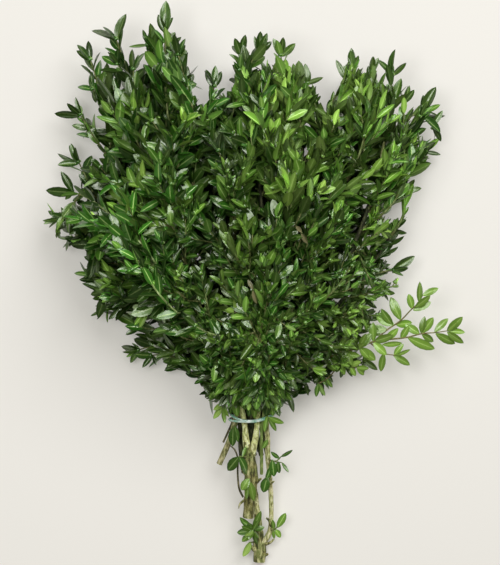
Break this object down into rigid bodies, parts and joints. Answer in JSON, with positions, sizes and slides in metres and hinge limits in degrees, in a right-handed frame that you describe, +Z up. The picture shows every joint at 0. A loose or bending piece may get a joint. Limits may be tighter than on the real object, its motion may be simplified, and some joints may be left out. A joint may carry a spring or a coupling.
{
  "type": "boxwood bunch",
  "caption": "Bunch of cut boxwood branches with glossy leaf pairs, bark-covered stems and a wound rubber band, lying on a surface.",
  "frame": {"origin": "middle of the bunch's outline seen from above, on the surface that it lies on", "axes": "+Y from the cut stem ends to the leafy tips, +Z up off the surface, +X to the side of the sparse light-green sprig"},
  "size_m": [0.3659, 0.4887, 0.1063],
  "materials": {
    "bark": "matte",
    "green_bark": "satin",
    "leaf_dark": "satin",
    "leaf_light": "satin",
    "rubber": "satin"
  },
  "bodies": {
    "root": {"branch_middle": "bark", "branch_right": "bark", "branch_right_upper": "bark", "branch_upper_left": "bark", "rubber_band": "rubber", "spray_far_left_low": "leaf_dark", "spray_far_left_tip": "leaf_dark", "spray_far_left_upper": "leaf_dark", "spray_front_left": "leaf_dark", "spray_front_middle": "leaf_dark", "spray_front_right": "leaf_dark", "spray_left_top_low": "leaf_dark", "spray_left_top_outer": "leaf_dark", "spray_left_top_tip": "leaf_dark", "spray_left_upper_low": "leaf_dark", "spray_left_upper_tip": "leaf_dark", "spray_light_front": "leaf_light", "spray_light_left": "leaf_light", "spray_light_right": "leaf_light", "spray_light_tip": "leaf_light", "spray_lower_left": "leaf_dark", "spray_lower_left_inner": "leaf_dark", "spray_lower_right": "leaf_dark", "spray_lower_right_inner": "leaf_dark", "spray_middle_back_tip": "leaf_dark", "spray_middle_front": "leaf_dark", "spray_middle_left": "leaf_dark", "spray_middle_right": "leaf_dark", "spray_middle_tip": "leaf_dark", "spray_right_front": "leaf_dark", "spray_right_inner_tip": "leaf_dark", "spray_right_low_outer": "leaf_dark", "spray_right_low_tip": "leaf_dark", "spray_right_outer": "leaf_dark", "spray_right_tip": "leaf_dark", "spray_right_top_outer": "leaf_dark", "spray_right_top_tip": "leaf_dark", "spray_right_upper_outer": "leaf_dark", "spray_right_upper_tip": "leaf_dark", "spray_side_sprig": "leaf_light", "spray_upper_left_front": "leaf_dark", "spray_upper_left_inner": "leaf_dark", "spray_upper_left_outer": "leaf_dark", "spray_upper_left_tip": "leaf_dark", "sprig_bottom_left": "leaf_dark", "sprig_bottom_right": "leaf_light", "sprig_on_thin_stem": "leaf_dark", "sprig_on_trunk": "leaf_dark", "stem_far_left": "bark", "stem_forked_trunk": "bark", "stem_green": "green_bark", "stem_left_stub": "bark", "stem_left_top": "bark", "stem_left_upper": "bark", "stem_long_forked": "bark", "stem_middle_back": "bark", "stem_right_low": "bark", "stem_right_top": "bark", "stem_thin_twig": "green_bark"}
  },
  "joints": []
}
